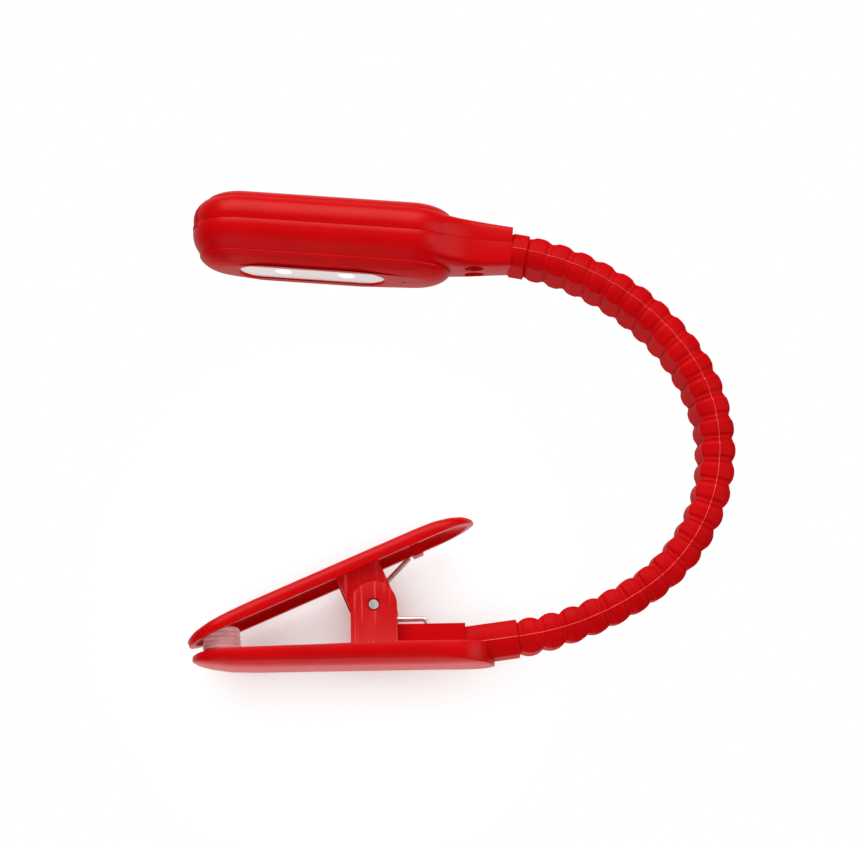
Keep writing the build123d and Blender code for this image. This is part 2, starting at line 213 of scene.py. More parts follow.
def rounded_profile(profile, steps=4):
    """A smooth run of points through (inset, height) pairs, by Catmull-Rom."""
    ends = [profile[0]] + list(profile) + [profile[-1]]
    result = []
    for i in range(1, len(ends) - 2):
        p0, p1, p2, p3 = (Vector(ends[i + k]) for k in (-1, 0, 1, 2))
        for s in range(steps):
            t = s / steps
            a = 2 * p1 + (p2 - p0) * t
            b = (2 * p0 - 5 * p1 + 4 * p2 - p3) * t * t
            c = (3 * p1 - p0 - 3 * p2 + p3) * t * t * t
            result.append(tuple((a + b + c) / 2))
    result.append(tuple(profile[-1]))
    return result


def move(obj, matrix):
    """Places an object's mesh by a matrix."""
    obj.data.transform(matrix)
    obj.data.update()


HEAD_MATRIX = Matrix.Translation(HEAD_AT * MM) @ Matrix.Rotation(math.radians(HEAD_TILT), 4, "Y")
UPPER_MATRIX = (Matrix.Translation(Vector((0, 0, PIN_HEIGHT * MM)))
                @ Matrix.Rotation(-math.radians(UPPER_PITCH), 4, "Y"))


# Materials

# Depth of the grain on moulded plastic and on the rubber
GRAIN_DEPTH = 0.02
RUBBER_GRAIN_DEPTH = 0.03

FROST_TINTS = [(0.3, (0.80, 0.79, 0.79)), (0.7, (0.86, 0.85, 0.85))]
RUBBER_TINTS = [(0.3, (0.84, 0.42, 0.44)), (0.75, (0.95, 0.60, 0.61))]

# The glow on the window: how far in it lies, and its outer and inner radius round each LED
GLOW_DEPTH = 0.6
GLOW_RADIUS = 2.3
GLOW_CORE = 0.5
# Colours of the painted glow, from the faint glow over the whole window to warm white at each LED
GLOW_TINTS = [(0.0, (0.22, 0.20, 0.19)), (0.45, (0.9, 0.82, 0.6)), (1.0, (1.0, 1.0, 0.86))]


def new_material(name):
    """A material with its nodes, its links and its main shader."""
    material = bpy.data.materials.new(name)
    material.use_nodes = True
    nodes = material.node_tree.nodes
    return material, nodes, material.node_tree.links, nodes["Principled BSDF"]


def add_noise(nodes, links, scale, detail=3.0):
    """A noise texture that is fixed to the object."""
    texture = nodes.new("ShaderNodeTexNoise")
    texture.inputs["Scale"].default_value = scale
    texture.inputs["Detail"].default_value = detail
    coordinates = nodes.new("ShaderNodeTexCoord")
    links.new(coordinates.outputs["Object"], texture.inputs["Vector"])
    return texture


def add_ramp(nodes, links, source, stops):
    """Turns a value into a colour by (place, colour) stops."""
    ramp = nodes.new("ShaderNodeValToRGB")
    elements = ramp.color_ramp.elements
    while len(elements) < len(stops):
        elements.new(0.5)
    for element, (place, colour) in zip(elements, stops):
        element.position = place
        element.color = (*colour, 1.0)
    links.new(source, ramp.inputs["Fac"])
    return ramp


def add_bump(nodes, links, source, shader, strength, distance):
    """Roughens a shader's surface by a height value."""
    bump = nodes.new("ShaderNodeBump")
    bump.inputs["Strength"].default_value = strength
    bump.inputs["Distance"].default_value = distance
    links.new(source, bump.inputs["Height"])
    links.new(bump.outputs["Normal"], shader.inputs["Normal"])


def add_range(nodes, links, source, before, after, ease="LINEAR"):
    """Turns a value in one range into a value in another."""
    node = nodes.new("ShaderNodeMapRange")
    node.interpolation_type = ease
    for name, value in zip(("From Min", "From Max", "To Min", "To Max"), (*before, *after)):
        node.inputs[name].default_value = value
    links.new(source, node.inputs["Value"])
    return node.outputs["Result"]


def add_math(nodes, links, operation, first, second):
    """Joins two values by an operation."""
    node = nodes.new("ShaderNodeMath")
    node.operation = operation
    links.new(first, node.inputs[0])
    links.new(second, node.inputs[1])
    return node.outputs["Value"]


def add_mix(nodes, links, share, first, second):
    """Mixes two shaders, the second by its share."""
    node = nodes.new("ShaderNodeMixShader")
    links.new(share, node.inputs["Fac"])
    links.new(first, node.inputs[1])
    links.new(second, node.inputs[2])
    return node.outputs["Shader"]


def add_gloss(nodes, links, source, shader, roughness, spread):
    """Lets a value vary a shader's roughness by a share of it either way."""
    limits = (roughness * (1 - spread), roughness * (1 + spread))
    links.new(add_range(nodes, links, source, (0.0, 1.0), limits), shader.inputs["Roughness"])


def plastic(name, dark, light, roughness, grain_scale, grain, sheen=0.5):
    """Moulded plastic: slow colour drift, mottled gloss and a fine surface grain."""
    material, nodes, links, shader = new_material(name)
    shader.inputs["Specular IOR Level"].default_value = sheen
    drift = add_noise(nodes, links, 90.0)
    ramp = add_ramp(nodes, links, drift.outputs["Fac"], [(0.35, dark), (0.7, light)])
    links.new(ramp.outputs["Color"], shader.inputs["Base Color"])
    mottle = add_noise(nodes, links, 400.0)
    add_gloss(nodes, links, mottle.outputs["Fac"], shader, roughness, 0.15)
    fine = add_noise(nodes, links, grain_scale, detail=2.0)
    add_bump(nodes, links, fine.outputs["Fac"], shader, grain, GRAIN_DEPTH * MM)
    return material


def streaked(name, dark, light, roughness):
    """Moulded plastic with fine upright drag marks from the tool."""
    material, nodes, links, shader = new_material(name)
    shader.inputs["Specular IOR Level"].default_value = 0.2
    shader.inputs["Roughness"].default_value = roughness
    place = nodes.new("ShaderNodeTexCoord")
    stretch = nodes.new("ShaderNodeMapping")
    stretch.inputs["Scale"].default_value = (1.0, 1.0, 0.05)
    links.new(place.outputs["Object"], stretch.inputs["Vector"])
    marks = nodes.new("ShaderNodeTexNoise")
    marks.inputs["Scale"].default_value = 1400.0
    links.new(stretch.outputs["Vector"], marks.inputs["Vector"])
    ramp = add_ramp(nodes, links, marks.outputs["Fac"], [(0.42, dark), (0.55, dark), (0.72, light)])
    links.new(ramp.outputs["Color"], shader.inputs["Base Color"])
    return material


def metal(name, colour, roughness, streak_scale, metallic=0.85):
    """Drawn or plated metal with fine streaks in its gloss."""
    material, nodes, links, shader = new_material(name)
    shader.inputs["Metallic"].default_value = metallic
    streaks = add_noise(nodes, links, streak_scale, detail=4.0)
    dull = tuple(c * 0.86 for c in colour)
    ramp = add_ramp(nodes, links, streaks.outputs["Fac"], [(0.3, dull), (0.7, colour)])
    links.new(ramp.outputs["Color"], shader.inputs["Base Color"])
    add_gloss(nodes, links, streaks.outputs["Fac"], shader, roughness, 0.3)
    return material


def diffuser_material():
    """Frosted white window with painted glow: a faint glow over the whole window, and a warm glow round
    each LED behind it.
    """
    material, nodes, links, shader = new_material("frosted diffuser")
    shader.inputs["Roughness"].default_value = 0.42
    frost = add_noise(nodes, links, 1500.0)
    ramp = add_ramp(nodes, links, frost.outputs["Fac"], FROST_TINTS)
    links.new(ramp.outputs["Color"], shader.inputs["Base Color"])
    place = nodes.new("ShaderNodeTexCoord")
    reach = (GLOW_RADIUS * MM, GLOW_CORE * MM)
    glow = None
    for x in LED_X:
        centre = HEAD_MATRIX @ (Vector((x, 0.0, HEAD_FLOOR + GLOW_DEPTH)) * MM)
        distance = nodes.new("ShaderNodeVectorMath")
        distance.operation = "DISTANCE"
        distance.inputs[1].default_value = centre
        links.new(place.outputs["Object"], distance.inputs[0])
        fall = add_range(nodes, links, distance.outputs["Value"], reach, (0.0, 1.0), "SMOOTHERSTEP")
        glow = fall if glow is None else add_math(nodes, links, "ADD", glow, fall)
    tint = add_ramp(nodes, links, glow, GLOW_TINTS)
    links.new(tint.outputs["Color"], shader.inputs["Emission Color"])
    shader.inputs["Emission Strength"].default_value = 1.0
    return material


def milky_rubber():
    """Soft translucent silicone that lets the red of the jaws through."""
    material, nodes, links, shader = new_material("milky silicone")
    cloud = add_noise(nodes, links, 260.0)
    ramp = add_ramp(nodes, links, cloud.outputs["Fac"], RUBBER_TINTS)
    links.new(ramp.outputs["Color"], shader.inputs["Base Color"])
    shader.inputs["Roughness"].default_value = 0.38
    shader.inputs["Subsurface Weight"].default_value = 0.35
    shader.inputs["Subsurface Scale"].default_value = 1.2 * MM
    shader.inputs["Subsurface Radius"].default_value = (1.0, 0.5, 0.5)
    fine = add_noise(nodes, links, 2500.0)
    add_bump(nodes, links, fine.outputs["Fac"], shader, 0.2, RUBBER_GRAIN_DEPTH * MM)
    return material


# Plastics are given by dark and light colour, roughness, grain scale, grain strength and sheen
RED_SHELL = plastic("red moulded shell", (0.61, 0.0015, 0.003), (0.67, 0.002, 0.004),
                    0.34, 6000.0, 0.10, sheen=0.12)
RED_SLEEVE = plastic("red soft sleeve", (0.55, 0.0012, 0.003), (0.63, 0.002, 0.004),
                     0.50, 5000.0, 0.14, sheen=0.05)
# Paler red painted on the sleeve's parting-line ridge as its highlight
SEAM_PAINTED_HIGHLIGHT = plastic("parting seam painted highlight", (0.80, 0.05, 0.05), (0.86, 0.09, 0.08), 0.35, 5000.0, 0.1)
RED_STREAKED = streaked("drag-marked red moulding", (0.62, 0.003, 0.005), (0.74, 0.06, 0.06), 0.4)
BRIGHT_STEEL = metal("bright spring steel", (1.0, 0.97, 0.94), 0.38, 900.0, metallic=0.7)
PLATED_STEEL = metal("plated steel", (0.95, 0.94, 0.93), 0.42, 700.0, metallic=0.45)
SOFT_WIRE = metal("drawn core wire", (0.72, 0.73, 0.75), 0.35, 800.0)
DIFFUSER = diffuser_material()
MILKY = milky_rubber()
WHITE_PART = plastic("matt white moulding", (0.82, 0.82, 0.80), (0.88, 0.88, 0.86), 0.6, 3000.0, 0.1)
BOARD = plastic("solder mask", (0.02, 0.20, 0.07), (0.03, 0.27, 0.10), 0.45, 2500.0, 0.2)
LED_CHIP = plastic("phosphor chip", (0.85, 0.72, 0.30), (0.92, 0.82, 0.42), 0.4, 3000.0, 0.1)
PIPE = plastic("light guide", (0.16, 0.003, 0.005), (0.22, 0.005, 0.007), 0.35, 3000.0, 0.05, sheen=0.1)
FOIL = metal("pouch foil", (0.75, 0.76, 0.78), 0.4, 500.0)
BLACK_PART = plastic("black moulding", (0.02, 0.02, 0.02), (0.035, 0.035, 0.035), 0.5, 3000.0, 0.1)

CAD_FINISH = {
    "body_plastic": RED_SHELL, "arm_sleeve": RED_SLEEVE, "soft_cover": RED_SLEEVE, "clear_rubber": MILKY,
    "steel": PLATED_STEEL, "bright_steel": BRIGHT_STEEL, "core_wire": SOFT_WIRE, "diffuser": DIFFUSER,
    "white_plastic": WHITE_PART, "board": BOARD, "led": LED_CHIP, "light_pipe": PIPE,
    "battery_foil": FOIL, "black_plastic": BLACK_PART}


def dress(obj, material):
    """Gives an object one finish."""
    obj.data.materials.clear()
    obj.data.materials.append(material)


def finish_piece(obj, material, body, replaced, shade, edge=0.0):
    """Gives a piece its finish and its body, and hides the parts that it stands for."""
    if edge:
        soften(obj, edge)
    smooth_shade(obj, shade)
    dress(obj, material)
    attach(obj, body)
    if replaced:
        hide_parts(*replaced)


def mark_ears(jaw, matrix, low, high):
    """Puts the drag-marked finish on the outer faces of a jaw's two ears, between two heights."""
    jaw.data.materials.append(RED_STREAKED)
    back = matrix.inverted()
    for polygon in jaw.data.polygons:
        centre = back @ polygon.center / MM
        if abs(polygon.normal.y) > 0.9 and abs(centre.x) < EAR_REACH and low < centre.z < high:
            polygon.material_index = 1


def dress_cad_nodes():
    """Gives every node of the frame its finish by its material slot."""
    for part in frame["record"]["subparts"]:
        node = frame["nodes"][part["node"]]
        dress(node, CAD_FINISH[part["material_slot"]])


# Arm sleeve

def arm_at(distance):
    """Point and heading of the arm's centreline, measured from its first groove."""
    x, z = ARM_START
    heading = math.radians(ARM_HEADING)
    if distance < 0:
        return x + distance * math.cos(heading), z + distance * math.sin(heading), heading
    left = distance
    for number, (length, turn) in enumerate(ARM_ARCS):
        run = left if number == len(ARM_ARCS) - 1 else min(left, length)
        bend = math.radians(turn) * run / length
        chord = run if bend == 0 else 2 * run / bend * math.sin(bend / 2)
        x += chord * math.cos(heading + bend / 2)
        z += chord * math.sin(heading + bend / 2)
        heading += bend
        left -= run
        if left <= 0:
            break
    return x, z, heading


ARM_LENGTH = sum(length for length, turn in ARM_ARCS)
PITCH = ARM_LENGTH / BEAD_COUNT

# A bead has a full-size land in its middle, then a lower collar that rises again to the notch
LAND_HALF = 1.1
STEP_END = 1.7
LIP_START = 1.82
GROOVE_DEPTH = 0.26
LIP_HEIGHT = 0.16
BARREL = 0.45
LAND_ROWS = (0.0, 0.4, 0.8, LAND_HALF)
GROOVE_ROWS = (1.2, 1.3, 1.4, 1.5, 1.6, STEP_END, LIP_START, 1.95, 2.12, 2.25, 2.33)

# The notch beside a plain end, and the rounding of the two ends
END_NOTCH_HALF = 0.75
END_NOTCH_BALL = 0.4
LOWER_END_ROUND = 0.25
UPPER_END_ROUND = 0.45
LOWER_END_ROWS = (-0.9, -0.25)
UPPER_END_ROWS = (0.3, 0.9, 2.2, UPPER_PLAIN - 0.5)

# Rings where pieces meet: the far side of a drum bead, and the start of the piece that turns on it
DRUM_PLAY = 0.03
DRUM_ROWS = ((2.46, 4.8), (2.7, 4.7), (3.0, 4.55), (3.3, 4.4), (3.5, 4.25), (3.65, 4.1))
START_ROWS = ((2.0, 2.6, 4.6), (2.2, 2.8, 4.85))

# The parting line's ridge, and how much of its height each kind of ring has
SEAM_HEIGHT = 0.05
SEAM_HALF_ANGLE = 0.014
SEAM_SHARE = {"land": 1.0, "lower end": 0.8, "upper end": 0.7, "groove": 0.6, "notch": 0.25,
              "end notch": 0.2, "upper rim": 0.2, "hidden": 0.0}
# Rings whose ridge share reaches this carry the ridge's painted highlight, taken within this reach of their
# crest points
SEAM_HIGHLIGHT_FROM = 0.55
SEAM_REACH = 0.02

SLEEVE_SHADE_ANGLE = 26.0

# Bead pitches each side of a bead at which blend_about reads the arm's place, the fewer towards the
# sleeve's end
SWING_NEAR = 1.2
SWING_FAR = 1.6

# Points of a ring: each side has an arc, with three points for the ridge in its middle, then a flat
ARC_STEPS = 16
FLAT_STEPS = 5
SIDE_POINTS = ARC_STEPS + 3 + FLAT_STEPS
CREST = ARC_STEPS // 2 + 1

# How far the sleeve is turned about its own line, in degrees, at distances along it
TWIST = [(-20.0, 0.0), (0.0, 1.0), (14.0, 5.0), (55.0, 5.5), (66.0, 8.0), (78.0, 11.5), (100.0, 10.5),
         (128.0, 7.0), (140.0, 6.0)]


def twist_at(distance):
    """The sleeve's turn at a distance, eased between the places in the table."""
    for (d0, t0), (d1, t1) in zip(TWIST, TWIST[1:]):
        if distance <= d1:
            t = max(0.0, (distance - d0) / (d1 - d0))
            return t0 + (t1 - t0) * t * t * (3 - 2 * t)
    return TWIST[-1][1]


def bead_size(offset):
    """Half thickness in the arm's plane and ball radius, at an offset from a bead's centre."""
    u = abs(offset)
    half = math.sqrt(BEAD_HALF ** 2 - u ** 2)
    ball = math.sqrt(BEAD_BALL ** 2 - (BARREL * u) ** 2)
    if u <= LAND_HALF:
        return half, ball
    step = min(1.0, (u - LAND_HALF) / (STEP_END - LAND_HALF))
    step = step * step * (3 - 2 * step)
    rise = min(1.0, max(0.0, (u - LIP_START) / (PITCH / 2 - LIP_START)))
    return half, ball - GROOVE_DEPTH * step + LIP_HEIGHT * rise ** 2


def sleeve_ring(distance, half, ball, seam):
    """One cross-section: a circle cut flat on the inner and the outer side, turned a little."""
    x, z, heading = arm_at(distance)
    turn = math.radians(twist_at(distance))
    depth = math.sqrt(max(0.0, BEAD_BALL ** 2 - BEAD_HALF ** 2))
    shift = BEAD_HALF * math.cos(turn) + depth * math.sin(turn) - BEAD_HALF
    inward = Vector((-math.sin(heading), 0, math.cos(heading)))
    centre = Vector((x, 0, z)) + inward * shift
    front = Vector((0, -1, 0))
    across = inward * math.cos(turn) + front * math.sin(turn)
    deep = -front * math.cos(turn) + inward * math.sin(turn)
    corner = math.asin(min(1.0, half / ball))
    points = []
    for side in (0.0, math.pi):
        arc = [-corner + 2 * corner * i / ARC_STEPS for i in range(ARC_STEPS + 1)]
        arc[CREST - 1:CREST] = [-SEAM_HALF_ANGLE, 0.0, SEAM_HALF_ANGLE]
        for a in arc:
            radius = ball + (seam * SEAM_HEIGHT if a == 0.0 else 0.0)
            points.append((radius * math.cos(side + a), radius * math.sin(side + a)))
        flat = half if side == 0.0 else -half
        reach = math.sqrt(max(0.0, ball ** 2 - half ** 2))
        for i in range(1, FLAT_STEPS + 1):
            t = 1 - 2 * i / (FLAT_STEPS + 1)
            points.append((reach * t if side == 0.0 else -reach * t, flat))
    return [centre + deep * a + across * b for a, b in points]


def sleeve_rows(first, last):
    """Distance, half thickness, ball radius and seam share of each ring, for a run of beads."""
    rows = []
    notch = (*bead_size(PITCH / 2), SEAM_SHARE["notch"])
    end_notch = (BEAD_HALF - END_NOTCH_HALF, BEAD_BALL - END_NOTCH_BALL, SEAM_SHARE["end notch"])
    if first == 0:
        small = (BEAD_HALF - LOWER_END_ROUND, BEAD_BALL - LOWER_END_ROUND, SEAM_SHARE["lower end"])
        rows.append((-LOWER_PLAIN, *small))
        for distance in (LOWER_END_ROUND - LOWER_PLAIN, -LOWER_PLAIN / 2, *LOWER_END_ROWS):
            rows.append((distance, BEAD_HALF, BEAD_BALL, SEAM_SHARE["lower end"]))
        rows.append((0.0, *end_notch))
    else:
        drum = (first - 0.5) * PITCH
        rows += [(drum + u, half, ball, SEAM_SHARE["hidden"]) for u, half, ball in START_ROWS]
        rows.append((first * PITCH, *notch))
    offsets = sorted({-u for u in LAND_ROWS + GROOVE_ROWS} | set(LAND_ROWS + GROOVE_ROWS))
    for index in range(first, last):
        for u in offsets:
            share = SEAM_SHARE["land" if abs(u) <= LAND_HALF else "groove"]
            rows.append(((index + 0.5) * PITCH + u, *bead_size(u), share))
    if last == BEAD_COUNT:
        rows.append((ARM_LENGTH, *end_notch))
        for distance in UPPER_END_ROWS:
            rows.append((ARM_LENGTH + distance, BEAD_HALF, BEAD_BALL, SEAM_SHARE["upper end"]))
        small = (BEAD_HALF - UPPER_END_ROUND, BEAD_BALL - UPPER_END_ROUND, SEAM_SHARE["upper rim"])
        rows.append((ARM_LENGTH + UPPER_PLAIN, *small))
    else:
        drum = (last - 0.5) * PITCH
        rows.append((last * PITCH, *notch))
        for u, ball in DRUM_ROWS:
            half = math.sqrt(BEAD_HALF ** 2 - u ** 2) - DRUM_PLAY
            rows.append((drum + u, half, ball, SEAM_SHARE["hidden"]))
    return rows


def mark_seam(piece, rings, rows):
    """Paints the thin ridge of the parting line a paler red, as a painted highlight along it."""
    piece.data.materials.append(SEAM_PAINTED_HIGHLIGHT)
    crest = []
    for ring, row in zip(rings, rows):
        if row[-1] >= SEAM_HIGHLIGHT_FROM:
            crest += [ring[CREST] * MM, ring[SIDE_POINTS + CREST] * MM]
    tree = kdtree.KDTree(len(crest))
    for i, point in enumerate(crest):
        tree.insert(point, i)
    tree.balance()
    on_crest = [tree.find(vertex.co)[2] < SEAM_REACH * MM for vertex in piece.data.vertices]
    for polygon in piece.data.polygons:
        if len(polygon.vertices) == 4 and sum(on_crest[v] for v in polygon.vertices) == 2:
            polygon.material_index = 1


def build_sleeve():
    """One piece for each span. The bead it bends at is a whole drum, which the next piece turns on."""
    first = 0
    for k, count in enumerate(BEADS_PER_SPAN, start=1):
        last = first + count
        rows = sleeve_rows(first, last)
        rings = [sleeve_ring(*row) for row in rows]
        piece = lofted("arm_sleeve_%d" % k, rings)
        smooth_shade(piece, SLEEVE_SHADE_ANGLE)
        dress(piece, RED_SLEEVE)
        mark_seam(piece, rings, rows)
        body, nodes = "span_%d" % k, ["arm_span_%d" % k]
        if first == 0:
            blend_about(piece, 0.5 * PITCH, SWING_NEAR, SWING_FAR)
            nodes.append("arm_lower_end")
        elif last == BEAD_COUNT:
            blend_about(piece, (last - 0.5) * PITCH, SWING_FAR, SWING_NEAR)
            nodes.append("arm_upper_end")
        else:
            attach(piece, body)
        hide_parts(*nodes)
        first = last


def blend_about(piece, centre, before, after):
    """Bakes a piece's placement into its mesh; it reads the arm's place some bead pitches each side of a
    bead's centre, but neither bends the piece nor joins it to a body.
    """
    places = (arm_at(centre - before * PITCH), arm_at(centre + after * PITCH))
    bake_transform(piece)


# Lamp head

# Profiles of the head as (inset from its widest, height above the parting plane) pairs
SHELL_TOP = [(0.15, 0.0), (0.05, 0.7), (0.02, 1.6), (0.25, 2.9), (0.85, 4.1), (1.70, 5.0), (2.30, 5.35),
             (2.55, 5.40)]
SHELL_LOW = [(0.17, 0.0), (0.04, -0.6), (0.0, -1.4), (0.12, -2.6), (0.55, -4.0), (1.15, -5.1), (1.70, -5.9),
             (1.95, -6.34)]
COVER = [(2.60, 5.25), (2.50, 5.45), (2.62, 5.72), (3.3, 6.30), (4.6, 6.95), (6.3, 7.42), (8.4, 7.68),
         (10.9, 7.74)]
COVER_UNDER = [(10.9, 5.27), (3.6, 5.27)]
BEZEL = [(2.02, -6.38), (1.90, -6.55), (1.98, -6.95), (2.50, -7.6), (3.40, -8.3), (4.6, -8.9), (6.0, -9.28)]
TOP_RECESS = [(2.60, 5.30), (10.9, 5.30)]
TOP_CAVITY = [(1.36, -0.5), (1.36, 1.4), (2.0, 2.6), (3.4, 3.5)]
LOW_CAVITY = [(1.36, 0.5), (1.36, -3.0), (2.2, -4.4), (3.6, -5.2), (3.6, -9.0)]

# The shells' rims: their distance from the parting plane, and the inset of their inner edge
RIM_GAP = 0.02
RIM_INSET = 1.35

# Corners of the neck, sharp where it is cut, and its stations: x, half width, top, bottom, corner radius
NECK_CORNER_STEPS = 5
CUT_CORNER = 0.02
NECK_STATIONS = [
    (16.0, 9.4, 4.6, -5.2, 2.6), (20.5, 9.9, 4.85, -5.6, 2.6), (22.5, 9.5, 4.9, -5.8, 2.6),
    (24.5, 8.7, 4.85, -6.0, 2.5), (26.5, 7.65, 4.72, -6.1, 2.3), (28.5, 6.7, 4.55, -6.1, 2.0),
    (30.5, 5.95, 4.4, -6.05, 1.6), (32.5, 5.5, 4.2, -5.9, 1.3), (35.0, 5.27, 3.95, -5.6, 1.1),
    (37.5, 5.2, 3.72, -5.35, 1.1), (NECK_END, 5.2, 3.5, -5.1, 1.1)]

# The step round the push cover, and the cover's boss in its hole
STEP_INSET = 2.55
STEP_FLOOR = 5.15
BOSS_X = 15.0
BOSS_RADIUS = 1.7
BOSS_LOW = 2.7
BOSS_HIGH = 5.6
BOSS_HOLE_RADIUS = 1.9

# The screws' wells
WELL_RADIUS = 2.1
WELL_Y = 2.65
WELL_TOP = -3.4

# The bezel's inner edge, its two inner heights, and the rounded rim of the window as (growth, drop) pairs
BEZEL_INSET = 4.4
BEZEL_TOP = -6.38
BEZEL_INSIDE = -7.9
WINDOW_RIM = ((0.9, 0.0), (0.5, 0.0), (0.2, 0.04), (0.05, 0.15), (0.0, 0.3), (0.0, 1.5))
PIPE_HOLE_RADIUS = 0.62

# Cuts in the nose as half width, bottom, top and depth, then the flap that fills the first of them
FLAP_SEAT = (4.9, -1.3, 3.7, 1.4)
PORT_WAY = (4.0, -0.25, 2.85, 4.6)
NOSE_REACH = -40
FLAP_LOW = -1.1
FLAP_HIGH = 3.5
FLAP_HALF = 4.7
FLAP_PROUD = 0.12
FLAP_THICKNESS = 1.1
FLAP_ROWS = 10
FLAP_COLUMNS = 20


def head_outline(inset):
    """The head's round-ended outline at an inset."""
    return stadium(HEAD_LENGTH - 2 * inset, HEAD_WIDTH - 2 * inset)


def level_ring(outline, height):
    """A flat outline as points at one height."""
    return [(x, y, height) for x, y in outline]


def swept_solid(name, profile):
    """A round-ended solid from (inset, height) pairs, closed over at both ends of the profile."""
    return lofted(name, [level_ring(head_outline(inset), height) for inset, height in profile])


def neck_solid(name, low, high):
    """The flared neck, cut to the heights of one shell."""
    rings = []
    for x, half, top, bottom, corner in NECK_STATIONS:
        ring = []
        for side, up, start in ((1, 1, 0), (-1, 1, 90), (-1, -1, 180), (1, -1, 270)):
            is_cut = high <= top if up > 0 else low >= bottom
            radius = CUT_CORNER if is_cut else corner
            edge = min(top, high) if up > 0 else max(bottom, low)
            for i in range(NECK_CORNER_STEPS + 1):
                a = math.radians(start + 90 * i / NECK_CORNER_STEPS)
                y = side * (half - radius) + radius * math.cos(a)
                ring.append((x, y, edge - up * radius + radius * math.sin(a)))
        rings.append(ring)
    return lofted(name, rings)


def cut_nose(shell, name, half, low, high, depth):
    """Cuts a box from a shell's nose."""
    back = depth - HEAD_LENGTH / 2
    outline = [(NOSE_REACH, -half), (back, -half), (back, half), (NOSE_REACH, half)]
    combine(shell, prism(name, outline, low, high), "DIFFERENCE")


def build_head_shells():
    """The two shells of the head with half of the neck each."""
    skin = [(inset, max(height, RIM_GAP)) for inset, height in rounded_profile(SHELL_TOP)]
    upper = swept_solid("head_upper_shell_skin", [(RIM_INSET, RIM_GAP)] + skin + TOP_RECESS)
    combine(upper, swept_solid("cavity", TOP_CAVITY), "DIFFERENCE")
    combine(upper, neck_solid("neck", RIM_GAP, 20.0), "UNION")
    combine(upper, prism("recess", head_outline(STEP_INSET), STEP_FLOOR, 9.0), "DIFFERENCE")
    combine(upper, prism("boss_hole", circle(BOSS_HOLE_RADIUS, 32, x=BOSS_X), 2.0, 9.0), "DIFFERENCE")
    skin = [(inset, min(height, -RIM_GAP)) for inset, height in rounded_profile(SHELL_LOW)]
    lower = swept_solid("head_lower_shell_skin", [(RIM_INSET, -RIM_GAP)] + skin)
    combine(lower, swept_solid("cavity", LOW_CAVITY), "DIFFERENCE")
    combine(lower, neck_solid("neck", -20.0, -RIM_GAP), "UNION")
    for side in (-1, 1):
        outline = circle(WELL_RADIUS, 40, x=SCREW_X, y=WELL_Y * side)
        combine(lower, prism("screw_well", outline, -9.0, WELL_TOP), "DIFFERENCE")
    for shell in (upper, lower):
        cut_nose(shell, "flap_seat", *FLAP_SEAT)
        cut_nose(shell, "port_way", *PORT_WAY)
        move(shell, HEAD_MATRIX)
    finish_piece(upper, RED_SHELL, "lamp_head", ["head_upper_shell"], shade=32, edge=0.04)
    finish_piece(lower, RED_SHELL, "lamp_head", ["head_lower_shell"], shade=32, edge=0.04)


def build_bezel():
    """The ring below the crease, with the window's opening and the light pipe's hole."""
    rings = [level_ring(head_outline(BEZEL_INSET), BEZEL_TOP)]
    for inset, height in rounded_profile(BEZEL):
        rings.append(level_ring(head_outline(inset), height))
    for grow, drop in WINDOW_RIM:
        outline = stadium(WINDOW_LENGTH + 2 * grow, WINDOW_WIDTH + 2 * grow, x=WINDOW_X)
        rings.append(level_ring(outline, HEAD_FLOOR + drop))
    rings.append(level_ring(head_outline(BEZEL_INSET), BEZEL_INSIDE))
    rings.append(list(rings[0]))
    bezel = lofted("bottom_bezel_skin", rings, cap_start=False, cap_end=False)
    combine(bezel, prism("pipe_hole", circle(PIPE_HOLE_RADIUS, 24, x=PIPE_X), -12.0, -4.0), "DIFFERENCE")
    move(bezel, HEAD_MATRIX)
    finish_piece(bezel, RED_SHELL, "lamp_head", ["bottom_bezel"], shade=40)


def build_push_cover():
    """The raised oval on top, with the boss that pushes the switch."""
    cover = swept_solid("push_cover_skin", COVER_UNDER + rounded_profile(COVER[:-1]) + [COVER[-1]])
    combine(cover, prism("boss", circle(BOSS_RADIUS, 32, x=BOSS_X), BOSS_LOW, BOSS_HIGH), "UNION")
    move(cover, HEAD_MATRIX)
    finish_piece(cover, RED_SHELL, "push_cover", ["push_cover"], shade=40)


def build_port_cover():
    """The soft flap that follows the round nose."""
    points = []
    for r in range(FLAP_ROWS + 1):
        height = FLAP_LOW + (FLAP_HIGH - FLAP_LOW) * r / FLAP_ROWS
        for c in range(FLAP_COLUMNS + 1):
            y = -FLAP_HALF + 2 * FLAP_HALF * c / FLAP_COLUMNS
            points.append((nose_x(y, inset_at(height)) - FLAP_PROUD, y, height))
    step = FLAP_COLUMNS + 1
    corners = [r * step + c for r in range(FLAP_ROWS) for c in range(FLAP_COLUMNS)]
    faces = [(i, i + 1, i + step + 1, i + step) for i in corners]
    flap = make_object("port_cover_skin", points, faces)
    modifier = flap.modifiers.new("thickness", "SOLIDIFY")
    modifier.thickness = FLAP_THICKNESS * MM
    modifier.offset = -1.0
    settle_mesh(flap)
    move(flap, HEAD_MATRIX)
    finish_piece(flap, RED_SLEEVE, "port_cover", ["port_cover"], shade=45, edge=0.25)


def inset_at(height):
    """How far the head's skin stands in from its widest, at a height."""
    profile = SHELL_TOP if height >= 0 else SHELL_LOW
    for (a0, h0), (a1, h1) in zip(profile, profile[1:]):
        if min(h0, h1) <= height <= max(h0, h1):
            return a0 + (a1 - a0) * (height - h0) / (h1 - h0)
    return 0.0


def nose_x(y, inset):
    """Where the round nose is at a depth y, at an inset."""
    radius = HEAD_WIDTH / 2 - inset
    return -(HEAD_LENGTH - HEAD_WIDTH) / 2 - math.sqrt(max(0.0, radius ** 2 - y ** 2))


# Clip

